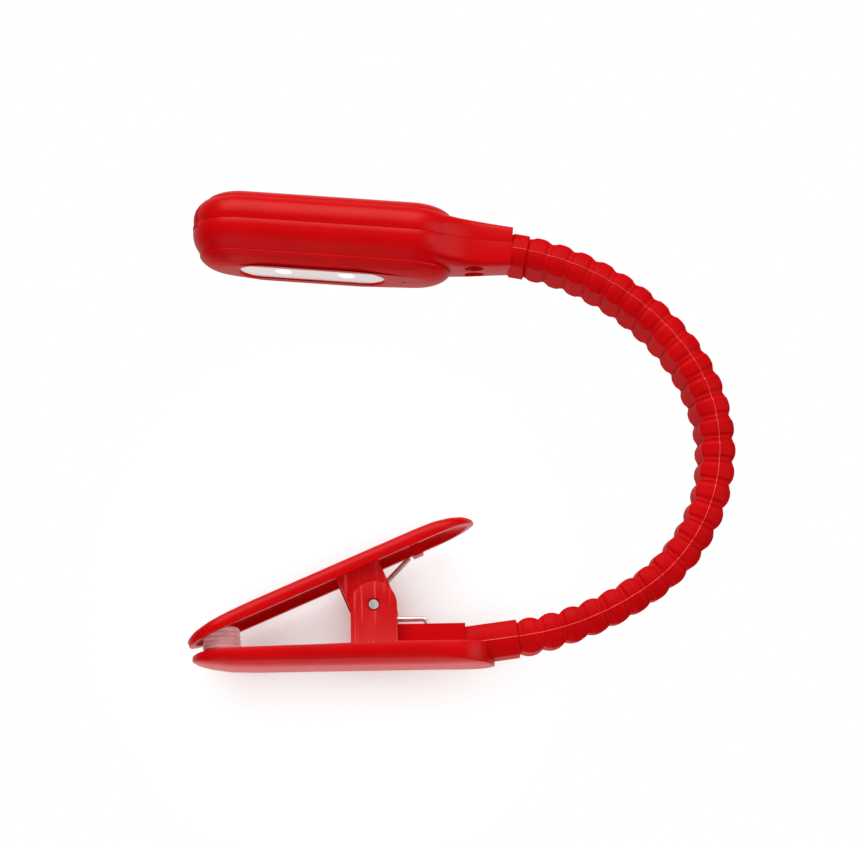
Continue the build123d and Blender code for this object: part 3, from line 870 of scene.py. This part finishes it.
LOWER_FRONT = -38.7
LOWER_BACK = 25.3
PLAN_RADIUS = 8.4
ROUND_STEPS = 14
CHANNEL_ROUND_STEPS = 12
STRAIGHT_STEPS = 24
SECTION_STEPS = 8
BETWEEN_EASE = 0.35

# Heights along the lower jaw: its top, the foot of its sides, and its underside
LOWER_TOP = [(-38.7, 2.9), (-36.3, 3.45), (-33.1, 3.75), (-28.5, 3.95), (-15.0, 4.2), (0.0, 4.55),
             (6.0, 4.7), (25.3, 4.6)]
LOWER_SIDE = [(-38.7, 2.2), (-36.0, 1.9), (-28.7, 1.9), (-15.7, 2.15), (5.6, 2.4), (10.7, 2.45),
              (13.8, 2.0), (18.4, 1.0), (22.6, 0.35), (25.3, 0.3)]
LOWER_BASE = [(-38.7, 1.9), (-37.5, 1.3), (-34.8, 0.7), (-30.0, 0.15), (-25.0, 0.0), (25.3, 0.0)]
LOWER_EDGE = 0.35
LOWER_ROUND_WIDTH = 4.2

# The lower jaw's ears, and the holes in them
EAR_RADIUS = 4.9
EAR_BOTTOM = 3.2
EAR_THICKNESS = 1.6
EAR_REACH = 5.5
EAR_ARC_STEPS = 24
COUNTERSINK_RADIUS = 1.35
COUNTERSINK_DEPTH = 0.45
LOWER_PIN_HOLE = 1.01
UPPER_PIN_HOLE = 1.06
NEST_CLEARANCE = 0.08
NEST_POINTS = 48

# The upper jaw, drawn level about the pin and tilted as a whole
UPPER_FRONT = -39.1
UPPER_BACK = 26.8
UPPER_RIM = 8.4
UPPER_CROWN = [(-39.1, 9.5), (-38.4, 9.95), (-36.5, 10.5), (-33.0, 11.0), (-29.0, 11.3), (-23.0, 11.45),
               (15.0, 11.45), (18.5, 11.3), (21.5, 10.9), (24.5, 10.2), (26.8, 9.1)]
UPPER_WALL = 1.5
CROWN_WALL_SHARE = 0.85
CROWN_RADIUS = 1.9
INNER_EAR_RADIUS = 4.8
INNER_EAR_TOP = 10.6
INNER_EAR_SIDES = (5.2, 6.8)
HOOK = [(12.6, 10.4), (12.6, 8.4), (12.0, 7.6), (12.3, 6.8), (14.4, 6.8), (14.4, 10.4)]
HOOK_HALF_WIDTH = 2.4

# The grip pad: its place, its size, and the rings round it
PAD_X = -32.4
PAD_LOW = 3.96
PAD_HIGH = 8.8
PAD_LENGTH = 12.0
PAD_WIDTH = 8.0
PAD_RINGS = 5
PAD_GROOVE = 0.16
PAD_EDGE = 0.25
PAD_TAPER = 0.25
PAD_STEPS = 30


def plan_half(x, front, back, half, radius):
    """Half width of a plate with rounded corners, at x."""
    near = min(x - front, back - x)
    if near >= radius:
        return half
    near = max(near, 0.0)
    return half - radius + math.sqrt(radius ** 2 - (radius - near) ** 2)


def between(x, table):
    """A smooth value at x from (x, value) pairs."""
    if x <= table[0][0]:
        return table[0][1]
    for (x0, v0), (x1, v1) in zip(table, table[1:]):
        if x <= x1:
            t = (x - x0) / (x1 - x0)
            t = t * t * (3 - 2 * t) * BETWEEN_EASE + t * (1 - BETWEEN_EASE)
            return v0 + (v1 - v0) * t
    return table[-1][1]


def end_stations(front, back, radius, count):
    """X stations that crowd towards the two rounded ends."""
    ends = [radius * (1 - math.cos(math.pi / 2 * i / count)) for i in range(count + 1)]
    straight = back - front - 2 * radius
    inner = [front + radius + straight * i / STRAIGHT_STEPS for i in range(1, STRAIGHT_STEPS)]
    return [front + e for e in ends] + inner + [back - e for e in reversed(ends)]


def mirrored(x, right):
    """A whole section at x from its right half, as (y, z) pairs from top to bottom."""
    left = [(-y, z) for y, z in reversed(right)]
    return [(x, y, z) for y, z in right + left]


def lower_section(x):
    """The lower jaw's section: a flat top with small edges, and rounded lower sides."""
    half = plan_half(x, LOWER_FRONT, LOWER_BACK, JAW_HALF_WIDTH, PLAN_RADIUS)
    top, side, base = between(x, LOWER_TOP), between(x, LOWER_SIDE), between(x, LOWER_BASE)
    edge = min(LOWER_EDGE, half * 0.3)
    flat = max(half - LOWER_ROUND_WIDTH, 0.4 * half)
    corner = (half - edge * 0.3, top - edge * 0.3)
    right = [(half - edge, top), corner, (half, top - edge), (half, side + 0.05)]
    for i in range(1, SECTION_STEPS + 1):
        a = math.pi / 2 * i / SECTION_STEPS
        right.append((flat + (half - flat) * math.cos(a), base + (side - base) * (1 - math.sin(a))))
    return mirrored(x, right)


def ear_outline(radius, bottom, centre):
    """An ear from the side: straight up to its centre's height, then half round."""
    turns = [math.pi * i / EAR_ARC_STEPS for i in range(EAR_ARC_STEPS + 1)]
    arc = [(radius * math.cos(a), centre + radius * math.sin(a)) for a in turns]
    return [(radius, bottom)] + arc + [(-radius, bottom)]


def cross_prism(name, outline, side, near, far):
    """A prism along Y on one side of the middle, between two distances from it."""
    low, high = sorted((side * near, side * far))
    return prism(name, outline, low, high, axis="Y")


def build_lower_jaw():
    """The lower jaw with its two ears, their pin holes and the nest that holds the arm."""
    stations = end_stations(LOWER_FRONT, LOWER_BACK, PLAN_RADIUS, ROUND_STEPS)
    jaw = lofted("lower_jaw_skin", [lower_section(x) for x in stations])
    half = JAW_HALF_WIDTH
    ear = ear_outline(EAR_RADIUS, EAR_BOTTOM, PIN_HEIGHT)
    sink = circle(COUNTERSINK_RADIUS, 32, y=PIN_HEIGHT)
    hole = circle(LOWER_PIN_HOLE, 32, y=PIN_HEIGHT)
    for side in (-1, 1):
        combine(jaw, cross_prism("ear", ear, side, half - 0.02, half - EAR_THICKNESS), "UNION")
        tool = cross_prism("countersink", sink, side, half + 1, half - COUNTERSINK_DEPTH)
        combine(jaw, tool, "DIFFERENCE")
        combine(jaw, cross_prism("pin_hole", hole, side, half + 1, half - 3), "DIFFERENCE")
    rings = [nest_ring(distance) for distance in (-LOWER_PLAIN, LOWER_PLAIN)]
    combine(jaw, lofted("nest", rings), "DIFFERENCE")
    finish_piece(jaw, RED_SHELL, "base", ["lower_jaw"], shade=32, edge=0.14)
    mark_ears(jaw, Matrix.Identity(4), 5.0, 20.0)


def nest_ring(distance):
    """The arm's plain section with clearance, straight on from the socket."""
    heading = math.radians(ARM_HEADING)
    x = ARM_START[0] + distance * math.cos(heading)
    z = ARM_START[1] + distance * math.sin(heading)
    across = Vector((-math.sin(heading), 0, math.cos(heading)))
    ball, half = BEAD_BALL + NEST_CLEARANCE, BEAD_HALF + NEST_CLEARANCE
    points = []
    for i in range(NEST_POINTS):
        a = 2 * math.pi * i / NEST_POINTS
        height = max(-half, min(half, ball * math.sin(a)))
        points.append(Vector((x, ball * math.cos(a), z)) + across * height)
    return points


def upper_section(x, inset):
    """The upper jaw's section, or the channel inside it when there is an inset."""
    front, back = UPPER_FRONT + inset, UPPER_BACK - inset
    half = plan_half(x, front, back, JAW_HALF_WIDTH - inset, PLAN_RADIUS - inset)
    outside = between(x, UPPER_CROWN)
    crown = outside - inset * CROWN_WALL_SHARE
    rim = UPPER_RIM if inset == 0 else UPPER_RIM - 4
    radius = min(CROWN_RADIUS - inset * 0.5, (outside - UPPER_RIM) * 0.75, half * 0.9)
    right = [(half, rim), (half, max(rim, crown - radius))]
    for i in range(1, SECTION_STEPS + 1):
        a = math.pi / 2 * i / SECTION_STEPS
        right.append((half - radius + radius * math.cos(a), crown - radius + radius * math.sin(a)))
    return mirrored(x, right)


def build_upper_jaw():
    """The channel-shaped lever with its two inner ears, the pin's hole and the spring's hook."""
    stations = end_stations(UPPER_FRONT, UPPER_BACK, PLAN_RADIUS, ROUND_STEPS)
    jaw = lofted("upper_jaw_skin", [upper_section(x, 0.0) for x in stations])
    wall = UPPER_WALL
    stations = end_stations(UPPER_FRONT + wall, UPPER_BACK - wall, PLAN_RADIUS - wall, CHANNEL_ROUND_STEPS)
    combine(jaw, lofted("channel", [upper_section(x, wall) for x in stations]), "DIFFERENCE")
    below = [(-x, -z) for x, z in ear_outline(INNER_EAR_RADIUS, 0.0, 0.0)[1:-1]]
    outline = [(-INNER_EAR_RADIUS, INNER_EAR_TOP)] + below + [(INNER_EAR_RADIUS, INNER_EAR_TOP)]
    for side in (-1, 1):
        combine(jaw, cross_prism("ear", outline, side, *INNER_EAR_SIDES), "UNION")
    combine(jaw, prism("pin_hole", circle(UPPER_PIN_HOLE, 32), -9, 9, axis="Y"), "DIFFERENCE")
    combine(jaw, prism("hook", HOOK, -HOOK_HALF_WIDTH, HOOK_HALF_WIDTH, axis="Y"), "UNION")
    move(jaw, UPPER_MATRIX)
    finish_piece(jaw, RED_SHELL, "lever", ["upper_jaw"], shade=32, edge=0.12)
    mark_ears(jaw, UPPER_MATRIX, -6.0, 8.3)


def build_grip_pad():
    """Ringed silicone block under the upper jaw's tip."""
    rings = []
    for i in range(PAD_STEPS + 1):
        t = i / PAD_STEPS
        z = PAD_LOW + (PAD_HIGH - PAD_LOW) * t
        inset = PAD_EDGE
        if 0 < i < PAD_STEPS:
            inset = PAD_GROOVE * (0.5 + 0.5 * math.cos(2 * math.pi * t * PAD_RINGS))
        shrink = 2 * inset + 2 * PAD_TAPER * t
        outline = stadium(PAD_LENGTH - shrink, PAD_WIDTH - shrink, arc_steps=16, side_steps=4)
        rings.append([(PAD_X + y, x, z) for x, y in outline])
    pad = lofted("grip_pad_block", rings)
    finish_piece(pad, MILKY, "lever", ["grip_pad"], shade=60)


# Spring

COIL_RADIUS = 2.4
COIL_PITCH = 1.35
COIL_STEPS = 150
WHOLE_TURNS = 3
WIRE_RADIUS = 0.575
LEG_PITCH = 46.0
LEG_LENGTH = 13.4
FOOT = ((10.9, 0, 0), (11.2, 0, -1.35))
FOOT_BEND = 0.8


def tube(name, path, radius, sides=16):
    """A round wire along points."""
    rings = []
    normal = None
    for i, point in enumerate(path):
        ahead = (path[min(i + 1, len(path) - 1)] - path[max(i - 1, 0)]).normalized()
        if normal is None:
            normal = ahead.orthogonal().normalized()
        normal = (normal - ahead * normal.dot(ahead)).normalized()
        side = ahead.cross(normal)
        rings.append([point + (normal * math.cos(a) + side * math.sin(a)) * radius
                      for a in (2 * math.pi * k / sides for k in range(sides))])
    return lofted(name, rings)


def rounded_path(points, radius, steps=8):
    """A polyline with each corner turned by a smooth curve."""
    result = [points[0]]
    for before, corner, after in zip(points, points[1:], points[2:]):
        a = corner + (before - corner).normalized() * radius
        b = corner + (after - corner).normalized() * radius
        for i in range(steps + 1):
            t = i / steps
            result.append(a * (1 - t) ** 2 + corner * 2 * t * (1 - t) + b * t * t)
    result.append(points[-1])
    return result


def build_spring():
    """The coil with its lower leg, and the upper leg, which rides the upper jaw."""
    start = math.radians(90 + LEG_PITCH)
    turns = WHOLE_TURNS + (270 - 90 - LEG_PITCH) / 360
    height = turns * COIL_PITCH
    coil = []
    for i in range(COIL_STEPS + 1):
        a = start + 2 * math.pi * turns * i / COIL_STEPS
        y = height / 2 - height * i / COIL_STEPS
        coil.append(Vector((COIL_RADIUS * math.cos(a), y, PIN_HEIGHT + COIL_RADIUS * math.sin(a))))
    foot = rounded_path([coil[-1]] + [coil[-1] + Vector(step) for step in FOOT], FOOT_BEND)
    lower = tube("torsion_spring_coil", coil + foot[1:], WIRE_RADIUS)
    finish_piece(lower, BRIGHT_STEEL, "base", ["torsion_spring"], shade=60)
    pitch = math.radians(LEG_PITCH)
    along = Vector((math.cos(pitch), 0, math.sin(pitch)))
    leg = [coil[0], coil[0] + along * 6, coil[0] + along * LEG_LENGTH]
    upper = tube("torsion_spring_upper_leg", leg, WIRE_RADIUS)
    finish_piece(upper, BRIGHT_STEEL, "lever", [], shade=60)


# Stage, lights and camera

# The sheet's tone, its painted shadow near the book light with a painted pink bounce from the red plastic,
# and the oval that it is seen in
SHEET_TONES = [(0.0, (0.24, 0.24, 0.24)), (1.0, (0.26, 0.26, 0.26))]
PAINTED_SHADOW_TINTS = [(0.3, (0.50, 0.34, 0.33)), (0.66, (0.90, 0.87, 0.87)), (0.9, (1.0, 1.0, 1.0))]
CONTACT_REACH = 15
OVAL_SHIFT = (0.14, 0.0, -0.25)
OVAL_SCALE = (1 / 0.056, 0.0, 1 / 0.062)
OVAL_FADE = (0.55, 1.0)


def sheet_material():
    """White paper seen from the front alone, with painted shadow and painted pink bounce light near the
    clip, fading out away from it.
    """
    material, nodes, links, shader = new_material("white paper with painted shadow")
    shader.inputs["Roughness"].default_value = 0.9
    shader.inputs["Specular IOR Level"].default_value = 0.1
    speck = add_noise(nodes, links, 30.0)
    ramp = add_ramp(nodes, links, speck.outputs["Fac"], SHEET_TONES)
    links.new(ramp.outputs["Color"], shader.inputs["Base Color"])
    # Painted shadow: the emission turns darker and pink where the book light hems the sheet in, standing in
    # for its shadow and its red bounce light
    nearby = nodes.new("ShaderNodeAmbientOcclusion")
    nearby.inputs["Distance"].default_value = CONTACT_REACH * MM
    painted_shadow_colour = add_ramp(nodes, links, nearby.outputs["AO"], PAINTED_SHADOW_TINTS)
    links.new(painted_shadow_colour.outputs["Color"], shader.inputs["Emission Color"])
    shader.inputs["Emission Strength"].default_value = 0.9
    place = nodes.new("ShaderNodeTexCoord")
    stretch = nodes.new("ShaderNodeMapping")
    stretch.inputs["Location"].default_value = OVAL_SHIFT
    stretch.inputs["Scale"].default_value = OVAL_SCALE
    links.new(place.outputs["Object"], stretch.inputs["Vector"])
    length = nodes.new("ShaderNodeVectorMath")
    length.operation = "LENGTH"
    links.new(stretch.outputs["Vector"], length.inputs[0])
    fade = add_range(nodes, links, length.outputs["Value"], OVAL_FADE, (0.0, 1.0), "SMOOTHSTEP")
    geometry = nodes.new("ShaderNodeNewGeometry")
    unseen = add_math(nodes, links, "MAXIMUM", geometry.outputs["Backfacing"], fade)
    clear = nodes.new("ShaderNodeBsdfTransparent")
    surface = add_mix(nodes, links, unseen, shader.outputs["BSDF"], clear.outputs["BSDF"])
    links.new(surface, nodes["Material Output"].inputs["Surface"])
    return material


def build_stage():
    """The upright white sheet just behind the light."""
    corners = ((-1, SHEET_LOW), (1, SHEET_LOW), (1, SHEET_HIGH), (-1, SHEET_HIGH))
    mesh = bpy.data.meshes.new("sheet")
    mesh.from_pydata([(side * SHEET_HALF_WIDTH, SHEET_Y, z) for side, z in corners], [], [(0, 1, 2, 3)])
    sheet = bpy.data.objects.new("sheet", mesh)
    bpy.context.scene.collection.objects.link(sheet)
    dress(sheet, sheet_material())


def add_light(name, location, size, power, glossy=True):
    """A rectangular studio lamp."""
    data = bpy.data.lights.new(name, "AREA")
    data.shape = "RECTANGLE"
    data.size, data.size_y = size
    data.energy = power
    light = bpy.data.objects.new(name, data)
    light.visible_glossy = glossy
    light.location = location
    direction = LIT_POINT - Vector(location)
    light.rotation_euler = direction.to_track_quat("-Z", "Y").to_euler()
    bpy.context.scene.collection.objects.link(light)


def build_world():
    """White to the camera, and lit as a white table behind and a dark room in front."""
    world = bpy.data.worlds.new("studio")
    bpy.context.scene.world = world
    world.use_nodes = True
    nodes, links = world.node_tree.nodes, world.node_tree.links
    nodes.clear()
    path = nodes.new("ShaderNodeLightPath")
    place = nodes.new("ShaderNodeTexCoord")
    parts = nodes.new("ShaderNodeSeparateXYZ")
    links.new(place.outputs["Generated"], parts.inputs["Vector"])
    depth = add_range(nodes, links, parts.outputs["Y"], (0.1, 0.9), (ROOM_DARK, ROOM_BRIGHT), "SMOOTHSTEP")
    seen = nodes.new("ShaderNodeBackground")
    seen.inputs["Color"].default_value = (1, 1, 1, 1)
    lit = nodes.new("ShaderNodeBackground")
    lit.inputs["Color"].default_value = (1.0, 0.99, 0.985, 1)
    links.new(depth, lit.inputs["Strength"])
    is_camera = path.outputs["Is Camera Ray"]
    surface = add_mix(nodes, links, is_camera, lit.outputs["Background"], seen.outputs["Background"])
    output = nodes.new("ShaderNodeOutputWorld")
    links.new(surface, output.inputs["Surface"])


def build_camera():
    """The camera, in front and a little below, rolled as the photograph is."""
    elevation = math.radians(CAMERA_ELEVATION)
    back = Vector((0, -math.cos(elevation), -math.sin(elevation)))
    data = bpy.data.cameras.new("camera")
    data.sensor_width = SENSOR_WIDTH
    data.lens = SENSOR_WIDTH * CAMERA_DISTANCE / (PHOTO_WIDTH * PHOTO_SCALE)
    camera = bpy.data.objects.new("camera", data)
    bpy.context.scene.collection.objects.link(camera)
    camera.location = CAMERA_TARGET + back * CAMERA_DISTANCE
    look = (-back).to_track_quat("-Z", "Y")
    roll = Matrix.Rotation(math.radians(CAMERA_ROLL), 4, "Z")
    camera.matrix_world = Matrix.Translation(camera.location) @ look.to_matrix().to_4x4() @ roll
    bpy.context.scene.camera = camera


dress_cad_nodes()
build_sleeve()
build_head_shells()
build_bezel()
build_push_cover()
build_port_cover()
build_lower_jaw()
build_upper_jaw()
build_grip_pad()
build_spring()
build_stage()
add_light("top", (-0.15, -0.60, 0.90), (1.3, 0.9), 14.5)
add_light("low", (-0.45, -0.55, -0.65), (1.0, 0.8), 5.5, glossy=False)
add_light("under", (0.0, 0.15, -0.90), (0.8, 0.5), 3.0)
add_light("side", (0.95, -0.55, 0.10), (0.8, 0.8), 5.0)
build_world()
build_camera()
bpy.context.scene.view_settings.view_transform = "Standard"
